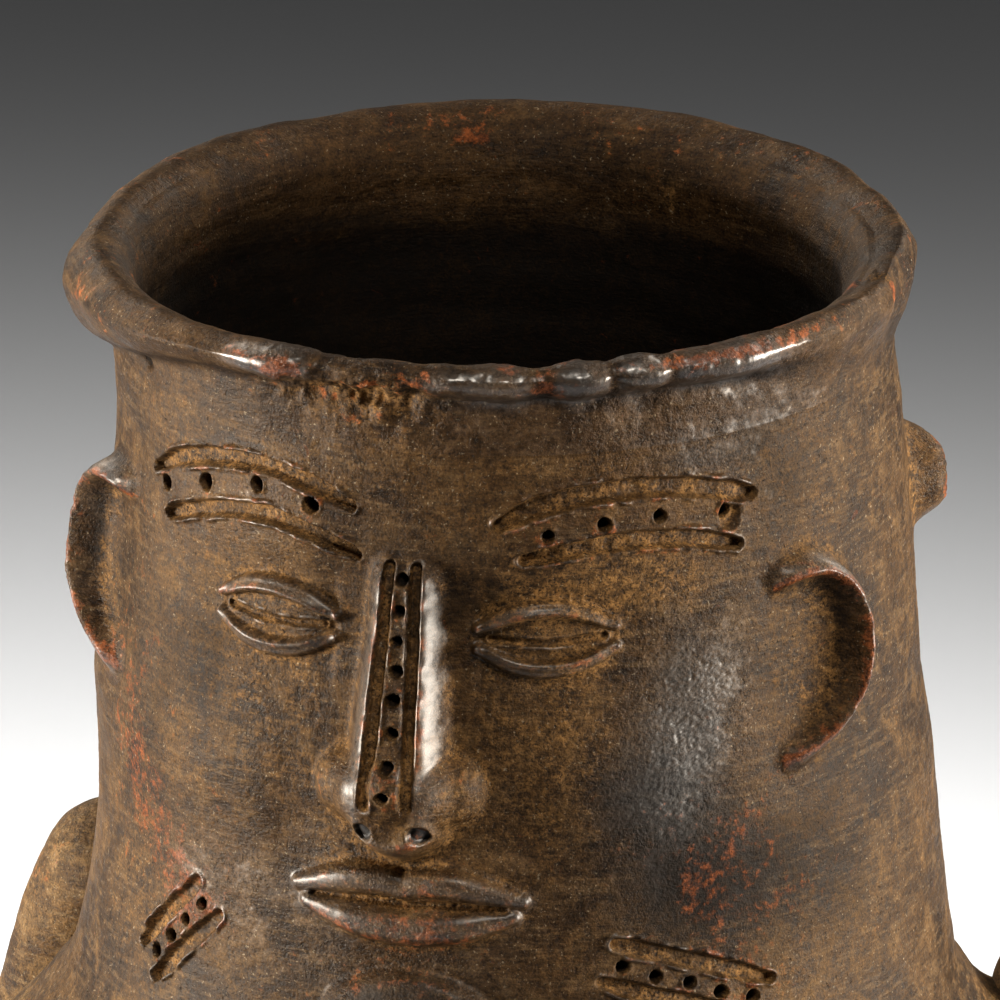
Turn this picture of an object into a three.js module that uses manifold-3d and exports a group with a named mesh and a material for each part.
// Ceremonial ceramic vessel: a globular body with a wide, tall neck shaped as a two-faced (janus) head,
// a rolled rim, C-shaped ears and two arms that leave the foot of the neck and lie round the belly.
// Millimetres, +Z up. Origin: centre of the flat rest on the underside of the base.
// The first face looks along -Y, the second along +Y. Azimuths are degrees from -Y towards +X.
// Every piece is one lump of clay that the potter forms by itself and lutes on: wall rings, rim coil and applied relief.

import * as THREE from "three";
import { mergeVertices } from "three/addons/utils/BufferGeometryUtils.js";
import Module from "manifold-3d";

const wasm = await Module();
wasm.setup();

// ---------------------------------------------------------------- driving dimensions
const HEIGHT = 393; // base to the crest of the rim
const BASE_R = 44; // flat rest
const SEGMENTS = 48; // round the walls
const GAP = 0.3; // luting gap between pieces
const RIM_CREST_R = 84;
const RIM_OUT_R = 90.3;
const THROAT_R = 73.8;
const FACES = [
  { name: "front", turn: 0 },
  { name: "back", turn: 180 },
];

// Head block: the ears span from brow line to nose base, and the face is laid out on equal thirds of that height.
const THIRD = 52;
const BROW_Z = HEIGHT - 46; // 347
const NOSE_BASE_Z = BROW_Z - THIRD; // 295
const CHIN_Z = NOSE_BASE_Z - THIRD; // 243
const EYE_Z = BROW_Z - THIRD / 4; // 334
const MOUTH_Z = NOSE_BASE_Z - THIRD / 3; // 277.7
const EYE_WIDTH_DEG = 19.7; // a fifth of the face between the ears
const EYE_AT_DEG = 20.4;

// Ear coils [azimuth, height, centre line off the wall]. The second face's ears are smaller and sit higher.
const EAR_PATHS = {
  front_right: [
    [54.4, HEIGHT - 57.6, 0.6],
    [58.4, HEIGHT - 54, 2],
    [63.6, HEIGHT - 54.2, 3.2],
    [67.6, HEIGHT - 59.8, 3.9],
    [69.2, HEIGHT - 70, 4],
    [67.7, HEIGHT - 80, 3.7],
    [63.6, HEIGHT - 87.6, 2.9],
    [58.6, HEIGHT - 92, 1.8],
    [54.6, HEIGHT - 94.6, 0.5],
  ],
  front_left: [
    [54.4, HEIGHT - 49.6, 0.6],
    [58.2, HEIGHT - 46.2, 2],
    [63.6, HEIGHT - 46.6, 3.2],
    [67.6, HEIGHT - 52, 3.9],
    [68.9, HEIGHT - 62, 4],
    [67.4, HEIGHT - 71.6, 3.7],
    [63.2, HEIGHT - 78.8, 2.9],
    [57.8, HEIGHT - 83.2, 1.8],
    [53.4, HEIGHT - 85.6, 0.5],
  ],
  back: [
    [56.4, HEIGHT - 54.2, 0.6],
    [59.8, HEIGHT - 51.6, 2],
    [64.2, HEIGHT - 51.4, 3.2],
    [67.7, HEIGHT - 53.8, 3.9],
    [69, HEIGHT - 58, 4],
    [67.9, HEIGHT - 62, 3.7],
    [64.8, HEIGHT - 65, 2.9],
    [60.6, HEIGHT - 66.8, 1.8],
    [57, HEIGHT - 67.6, 0.5],
  ],
};

// Brow bands, centre lines [azimuth, height], laid by hand and so a little uneven.
const BROW_PATHS = {
  front: {
    left: [
      [-48.3, HEIGHT - 38],
      [-43.4, HEIGHT - 38.4],
      [-33.6, HEIGHT - 35],
      [-23.1, HEIGHT - 32.6],
      [-14.1, HEIGHT - 34.2],
      [-6, HEIGHT - 37.6],
    ],
    right: [
      [14, HEIGHT - 40.8],
      [20.4, HEIGHT - 37.6],
      [28.3, HEIGHT - 35.6],
      [36.9, HEIGHT - 35.2],
      [47.6, HEIGHT - 36.6],
      [54.5, HEIGHT - 36.2],
    ],
  },
  back: {
    left: [
      [-51, HEIGHT - 39.2],
      [-45, HEIGHT - 37.6],
      [-35, HEIGHT - 35.2],
      [-25, HEIGHT - 34.8],
      [-15, HEIGHT - 37],
      [-8.5, HEIGHT - 40.2],
    ],
    right: [
      [9, HEIGHT - 40.5],
      [16, HEIGHT - 37.4],
      [26, HEIGHT - 35.2],
      [36, HEIGHT - 35.6],
      [46, HEIGHT - 38],
      [52, HEIGHT - 39.4],
    ],
  },
};

// Outer profile [radius, height, wall thickness], base to the underside of the rim.
const PROFILE = [
  [BASE_R, 0, 12],
  [56.7, 5, 11],
  [71, 12, 10],
  [90.2, 25, 9.5],
  [108.7, 43, 9.2],
  [123.3, 64, 9],
  [133.8, 88, 9],
  [139.4, 114, 9],
  [139.2, 140, 9],
  [133.8, 167, 9],
  [126.5, 185, 9],
  [118.4, 199, 9],
  [109.9, 210.5, 9],
  [102.2, 219.2, 9],
  [96.4, 227.6, 9],
  [93.2, 234.4, 8.8],
  [91.4, 243, 8.6],
  [89.2, 260, 8.4],
  [87.9, 280, 8.2],
  [87, 300, 8],
  [84.9, 325, 8],
  [82.6, 350, 7.9],
  [81.6, 372.5, 7.7],
];

// ---------------------------------------------------------------- materials
const clay = (color, roughness) =>
  new THREE.MeshStandardMaterial({ color, roughness, metalness: 0 });
const CLAY_BODY = clay(0x6d563d, 0.72);
const CLAY_NECK = clay(0x4c4032, 0.58);
const CLAY_RIM = clay(0x45362b, 0.5);
const CLAY_APPLIED = clay(0x54432f, 0.52);
const CLAY_ARM = clay(0x6a4f37, 0.68);

// ---------------------------------------------------------------- helpers
function manifoldOf(geometry) {
  const plain = new THREE.BufferGeometry();
  const flat = geometry.index ? geometry.toNonIndexed() : geometry;
  plain.setAttribute("position", flat.getAttribute("position"));
  const merged = mergeVertices(plain, 1e-3);
  const index = new Uint32Array(merged.index.array);
  const keep = [];
  for (let i = 0; i < index.length; i += 3) {
    const [a, b, c] = [index[i], index[i + 1], index[i + 2]];
    if (a !== b && b !== c && c !== a) keep.push(a, b, c);
  }
  const positions = merged.attributes.position.array;
  const make = (tris) =>
    new wasm.Manifold(
      new wasm.Mesh({
        numProp: 3,
        vertProperties: positions,
        triVerts: new Uint32Array(tris),
      }),
    );
  let volume = 0;
  for (let i = 0; i < keep.length; i += 3) {
    const p = (k) => new THREE.Vector3().fromArray(positions, keep[i + k] * 3);
    volume += p(0).dot(p(1).cross(p(2)));
  }
  if (volume < 0)
    for (let i = 0; i < keep.length; i += 3)
      [keep[i + 1], keep[i + 2]] = [keep[i + 2], keep[i + 1]];
  return make(keep);
}

function meshOf(solid, name, material) {
  const largest = solid
    .decompose()
    .sort((a, b) => b.volume() - a.volume())[0];
  const m = largest.getMesh();
  const n = m.numProp;
  const v = new Float32Array(m.numVert * 3);
  for (let i = 0; i < m.numVert; i++)
    v.set(m.vertProperties.subarray(i * n, i * n + 3), i * 3);
  const g = new THREE.BufferGeometry();
  g.setAttribute("position", new THREE.BufferAttribute(v, 3));
  g.setIndex(new THREE.BufferAttribute(m.triVerts, 1));
  g.computeVertexNormals();
  const mesh = new THREE.Mesh(g, material);
  mesh.name = name;
  return mesh;
}

// A body of revolution about +Z from [radius, height] points.
function revolve(points) {
  const g = new THREE.LatheGeometry(
    points.map(([r, z]) => new THREE.Vector2(r, z)),
    SEGMENTS,
  );
  g.rotateX(Math.PI / 2);
  return manifoldOf(g);
}

const outerCurve = new THREE.SplineCurve(
  PROFILE.map(([r, z]) => new THREE.Vector2(r, z)),
);
const OUTER = outerCurve.getPoints(PROFILE.length * 4);

// Outer radius at a height, and the outward normal there in the r-z plane.
function radiusAt(z) {
  for (let i = 1; i < OUTER.length; i++)
    if (OUTER[i].y >= z) {
      const a = OUTER[i - 1];
      const b = OUTER[i];
      const t = (z - a.y) / Math.max(b.y - a.y, 1e-6);
      return a.x + (b.x - a.x) * t;
    }
  return OUTER[OUTER.length - 1].x;
}
function normalAt(z) {
  const d = 2;
  const t = new THREE.Vector2(
    radiusAt(z + d) - radiusAt(z - d),
    2 * d,
  ).normalize();
  return new THREE.Vector2(t.y, -t.x);
}

// A point at an azimuth (degrees), height and distance out from the wall, square to it.
function onWall(azimuth, z, out = 0) {
  const n = normalAt(z);
  const r = radiusAt(z) + n.x * out;
  const a = THREE.MathUtils.degToRad(azimuth);
  return new THREE.Vector3(r * Math.sin(a), -r * Math.cos(a), z + n.y * out);
}
function outwards(azimuth, z) {
  const n = normalAt(z);
  const a = THREE.MathUtils.degToRad(azimuth);
  return new THREE.Vector3(n.x * Math.sin(a), -n.x * Math.cos(a), n.y);
}

// ---------------------------------------------------------------- wall rings
// Each ring runs between two indices of PROFILE. Its ends are square to the wall, half a gap short.
const wallNormals = PROFILE.map((p, i) => {
  const a = PROFILE[Math.max(i - 1, 0)];
  const b = PROFILE[Math.min(i + 1, PROFILE.length - 1)];
  const t = new THREE.Vector2(b[0] - a[0], b[1] - a[1]).normalize();
  return new THREE.Vector2(t.y, -t.x);
});
wallNormals[0].set(0.55, -0.835); // the base corner
wallNormals[PROFILE.length - 1].set(1, 0);
const INNER = PROFILE.map(([r, z, t], i) => [
  r - wallNormals[i].x * t,
  z - wallNormals[i].y * t,
]);
INNER[INNER.length - 1] = [THROAT_R, PROFILE[PROFILE.length - 1][1]];

function shortened(points, atStart, atEnd) {
  const out = points.map((p) => [p[0], p[1]]);
  const move = (i, j) => {
    const d = new THREE.Vector2(
      out[j][0] - out[i][0],
      out[j][1] - out[i][1],
    ).normalize();
    out[i][0] += (d.x * GAP) / 2;
    out[i][1] += (d.y * GAP) / 2;
  };
  if (atStart) move(0, 1);
  if (atEnd) move(out.length - 1, out.length - 2);
  return out;
}
function wallRing(from, to) {
  const outer = shortened(PROFILE.slice(from, to + 1), true, true);
  const inner = shortened(INNER.slice(from, to + 1), true, true).reverse();
  return revolve([...outer, ...inner, outer[0]]);
}

// The joints between the rings, as indices of PROFILE: low rings, so that each is close to a plain band.
const BASE_TOP = 2;
const RINGS = [
  ["foot_ring", 2, 4],
  ["lower_belly_ring", 4, 6],
  ["belly_ring", 6, 8],
  ["upper_belly_ring", 8, 10],
  ["shoulder_ring", 10, 13],
  ["neck_foot_ring", 13, 16],
  ["neck_wall", 16, PROFILE.length - 1],
];
const baseOuter = shortened(PROFILE.slice(0, BASE_TOP + 1), false, true);
const baseInner = shortened(INNER.slice(0, BASE_TOP + 1), false, true).reverse();
const basePad = revolve([[0, 0], ...baseOuter, ...baseInner, [0, 11.5]]);

// ---------------------------------------------------------------- rolled rim
const NECK_TOP = PROFILE[PROFILE.length - 1][1];
const rimProfile = [
  [THROAT_R, NECK_TOP + GAP / 2],
  [81.6, NECK_TOP + GAP / 2],
  [84.6, HEIGHT - 17.4],
  [88, HEIGHT - 14],
  [90, HEIGHT - 10.4],
  [RIM_OUT_R, HEIGHT - 7.2],
  [89.2, HEIGHT - 3.8],
  [87, HEIGHT - 1],
  [RIM_CREST_R, HEIGHT],
  [80.4, HEIGHT - 0.8],
  [77.2, HEIGHT - 3.4],
  [75.1, HEIGHT - 7.6],
  [74.1, HEIGHT - 13.6],
];
const rimCoil = revolve([...rimProfile, rimProfile[0]]);

// ---------------------------------------------------------------- applied relief
// What every applied piece is cut back from: the outside of the walls, one gap proud.
const keepOut = (() => {
  const grown = PROFILE.map(([r, z], i) => [
    r + wallNormals[i].x * GAP,
    z + wallNormals[i].y * GAP,
  ]);
  return revolve([[0, -1], ...grown, [81.6 + GAP, HEIGHT], [0, HEIGHT]]);
})();
const rimKeepOut = revolve([
  [60, NECK_TOP - GAP],
  [82, NECK_TOP - GAP],
  [86, HEIGHT - 18],
  [89, HEIGHT - 14.8],
  [91, HEIGHT - 10],
  [91, HEIGHT + 2],
  [60, HEIGHT + 2],
  [60, NECK_TOP - GAP],
]);

// A tapering coil along a curve. half(t) gives [half width along the wall, half height off the wall].
function coil(points, half, steps = 14, sides = 8) {
  const curve = new THREE.CatmullRomCurve3(points.map((p) => p.at));
  const outs = points.map((p) => p.out);
  const g = new THREE.CylinderGeometry(1, 1, 1, sides, steps);
  const pos = g.getAttribute("position");
  for (let i = 0; i < pos.count; i++) {
    const t = THREE.MathUtils.clamp(pos.getY(i) + 0.5, 0, 1);
    const centre = curve.getPoint(t);
    const along = curve.getTangent(t);
    const k = t * (outs.length - 1);
    const a = Math.min(Math.floor(k), outs.length - 2);
    const up = outs[a].clone().lerp(outs[a + 1], k - a);
    up.sub(along.clone().multiplyScalar(up.dot(along))).normalize();
    const side = new THREE.Vector3().crossVectors(along, up).normalize();
    const [w, h] = half(t);
    centre
      .add(side.multiplyScalar(pos.getX(i) * w))
      .add(up.multiplyScalar(pos.getZ(i) * h));
    pos.setXYZ(i, centre.x, centre.y, centre.z);
  }
  return manifoldOf(g);
}
// Coil stations from [azimuth, height, distance of the centre line off the wall].
const stations = (turn, list) =>
  list.map(([az, z, off]) => ({
    at: onWall(az + turn, z, off),
    out: outwards(az + turn, z),
  }));

// A rounded pad: an ellipsoid sunk into the wall.
function pad(azimuth, z, off, halfWide, halfTall, halfDeep, tilt = 0) {
  const g = new THREE.SphereGeometry(1, 12, 8);
  const out = outwards(azimuth, z);
  const side = new THREE.Vector3(-out.y, out.x, 0).normalize();
  const up = new THREE.Vector3().crossVectors(out, side).normalize();
  const c = Math.cos(tilt);
  const s = Math.sin(tilt);
  const wide = side
    .clone()
    .multiplyScalar(c)
    .add(up.clone().multiplyScalar(s));
  const tall = up
    .clone()
    .multiplyScalar(c)
    .add(side.clone().multiplyScalar(-s));
  const m = new THREE.Matrix4().makeBasis(
    wide.multiplyScalar(halfWide),
    tall.multiplyScalar(halfTall),
    out.clone().multiplyScalar(halfDeep),
  );
  m.setPosition(onWall(azimuth, z, off));
  g.applyMatrix4(m);
  return manifoldOf(g);
}

const pieces = [];
const add = (solid, name, material) =>
  pieces.push(meshOf(solid, name, material));
const applied = (solid, name, material = CLAY_APPLIED) =>
  add(solid.subtract(keepOut).subtract(rimKeepOut), name, material);

const taper = (w, h, end = 0.45) => (t) => {
  const k = end + (1 - end) * Math.sqrt(Math.max(0, 1 - (2 * t - 1) ** 4));
  return [w * k, h * k];
};

// Nose: a straight ridge from the brow line to the nose base, deepest at the tip.
function noseSolid(turn, grow) {
  const list = [
    [0, BROW_Z + 3, 1.2],
    [0, BROW_Z - 14, 1.8],
    [0, BROW_Z - 30, 2.4],
    [0, NOSE_BASE_Z + 8, 3],
    [0, NOSE_BASE_Z + 1, 2.6],
  ];
  return coil(
    stations(turn, list),
    (t) => [5.2 + 2.6 * t + grow, 3.2 + 5.6 * t + grow],
    10,
    10,
  );
}

for (const { name, turn } of FACES) {
  const sides = [
    { side: "left", s: -1 },
    { side: "right", s: 1 },
  ];
  const nose = noseSolid(turn, 0);
  const noseGrown = noseSolid(turn, GAP);
  applied(nose, `${name}_nose`);

  for (const { side, s } of sides) {
    const e = EYE_AT_DEG * s;
    const w = (EYE_WIDTH_DEG / 2) * s;

    applied(
      coil(
        stations(turn, [
          [e - w * 0.98, EYE_Z + 1.6, 0],
          [e, EYE_Z + 5, 0],
          [e + w * 0.98, EYE_Z + 1.8, 0],
        ]),
        taper(2.1, 2.7),
        8,
        7,
      ),
      `${name}_${side}_upper_eyelid`,
    );
    applied(
      coil(
        stations(turn, [
          [e - w * 0.98, EYE_Z - 3.6, 0],
          [e, EYE_Z - 7, 0],
          [e + w * 0.98, EYE_Z - 3.4, 0],
        ]),
        taper(2.1, 2.6),
        8,
        7,
      ),
      `${name}_${side}_lower_eyelid`,
    );
    applied(
      coil(
        stations(
          turn,
          BROW_PATHS[name][side].map(([az, z]) => [az, z, 0]),
        ),
        taper(7, 1.5, 0.6),
        12,
        8,
      ).subtract(noseGrown),
      `${name}_${side}_brow_band`,
    );
    applied(
      pad(7.6 * s + turn, NOSE_BASE_Z + 4.5, 1, 5.6, 5.4, 5.6).subtract(
        noseGrown,
      ),
      `${name}_${side}_nostril_wing`,
    );

    // Ear: a flange on edge that makes a C open towards the face.
    applied(
      coil(
        stations(
          turn,
          (EAR_PATHS[`${name}_${side}`] ?? EAR_PATHS[name]).map(([az, z, off]) => [az * s, z, off]),
        ),
        (t) => {
          const k = Math.sin(Math.PI * THREE.MathUtils.clamp(t, 0.04, 0.96));
          return [1.6 + 0.7 * k, 1.5 + 3.6 * Math.sqrt(k)];
        },
        18,
        7,
      ),
      `${name}_${side}_ear`,
    );
  }

  applied(
    coil(
      stations(turn, [
        [-15.6, MOUTH_Z + 0.6, 0],
        [-7, MOUTH_Z + 3.6, 0],
        [0, MOUTH_Z + 3.2, 0],
        [7, MOUTH_Z + 3.6, 0],
        [15.6, MOUTH_Z + 0.6, 0],
      ]),
      taper(2.7, 4, 0.3),
      10,
      7,
    ),
    `${name}_upper_lip`,
  );
  applied(
    coil(
      stations(turn, [
        [-14.2, MOUTH_Z - 4.4, 0],
        [-7, MOUTH_Z - 6, 0],
        [0, MOUTH_Z - 6.6, 0],
        [7, MOUTH_Z - 6, 0],
        [14.2, MOUTH_Z - 4.4, 0],
      ]),
      taper(3.2, 4.2, 0.3),
      10,
      7,
    ),
    `${name}_lower_lip`,
  );
  applied(
    pad(turn, CHIN_Z + 8, -2.6, 18, 9.5, 7),
    `${name}_chin_pad`,
  );
}

// ---------------------------------------------------------------- arms
// Each arm is one long coil. Its rounded shoulder end stands beside the foot of the neck, it lies round the belly,
// and its flattened end is cut into a hand. The shoulder ends differ, as hand-laid coils do.
const FOREARM = [
  [112.5, 156, 7, 13.4, 13],
  [103, 144, 7.4, 13, 12.6],
  [90, 135.5, 7.2, 12.4, 12],
  [76, 130, 6.6, 11.4, 11],
  [62, 127, 5.8, 10.6, 10],
  [49, 125.5, 5, 9.8, 9],
  [39, 125, 4.4, 9, 8.2],
];
const ARMS = [
  {
    name: "left_arm",
    s: -1,
    upper: [
      [117, 217, 12, 15, 15.2],
      [117, 208, 9.8, 14.6, 14.6],
      [117.5, 197, 7.4, 14.2, 14],
      [118, 184, 6.2, 13.8, 13.4],
      [116.5, 170, 6.2, 13.5, 13],
    ],
  },
  {
    name: "right_arm",
    s: 1,
    upper: [
      [117, 208.5, 11, 15, 14.6],
      [117, 200, 9.8, 14.6, 14.4],
      [117.5, 191, 8.2, 14.2, 14],
      [118, 180, 7, 13.8, 13.4],
      [116.5, 169, 6.4, 13.5, 13],
    ],
  },
];
const FINGERS = [
  [28.5, 131, 20.5, 138],
  [27.5, 128.6, 16.6, 132.2],
  [27, 125, 15.6, 126],
  [27, 121.4, 16, 119.8],
  [27.5, 118, 17.6, 113.6],
];
for (const { name, s, upper } of ARMS) {
  const path = [...upper, ...FOREARM];
  const half = (t) => {
    const k = t * (path.length - 1);
    const i = Math.min(Math.floor(k), path.length - 2);
    const f = k - i;
    return [3, 4].map((j) => path[i][j] * (1 - f) + path[i + 1][j] * f);
  };
  let arm = coil(
    stations(
      0,
      path.map(([az, z, off]) => [az * s, z, off]),
    ),
    half,
    22,
    10,
  );
  const [az0, z0, off0, wide0, high0] = path[0];
  arm = arm.add(pad(az0 * s, z0, off0, wide0, wide0, high0));
  arm = arm.add(pad(34 * s, 125, 1.6, 16.5, 11.5, 6.8));
  for (const [a0, za, a1, zb] of FINGERS)
    arm = arm.add(
      coil(
        stations(0, [
          [a0 * s, za, 1.2],
          [((a0 + a1) / 2) * s, (za + zb) / 2, 1.2],
          [a1 * s, zb, 0.4],
        ]),
        taper(2.3, 3.6, 0.55),
        4,
        6,
      ),
    );
  applied(arm, name, CLAY_ARM);
}

add(basePad, "base_pad", CLAY_BODY);
for (const [name, from, to] of RINGS)
  add(wallRing(from, to), name, name.startsWith("neck") ? CLAY_NECK : CLAY_BODY);
add(rimCoil, "rim_coil", CLAY_RIM);

const vessel = new THREE.Group();
for (const mesh of pieces) vessel.add(mesh);

export default vessel;
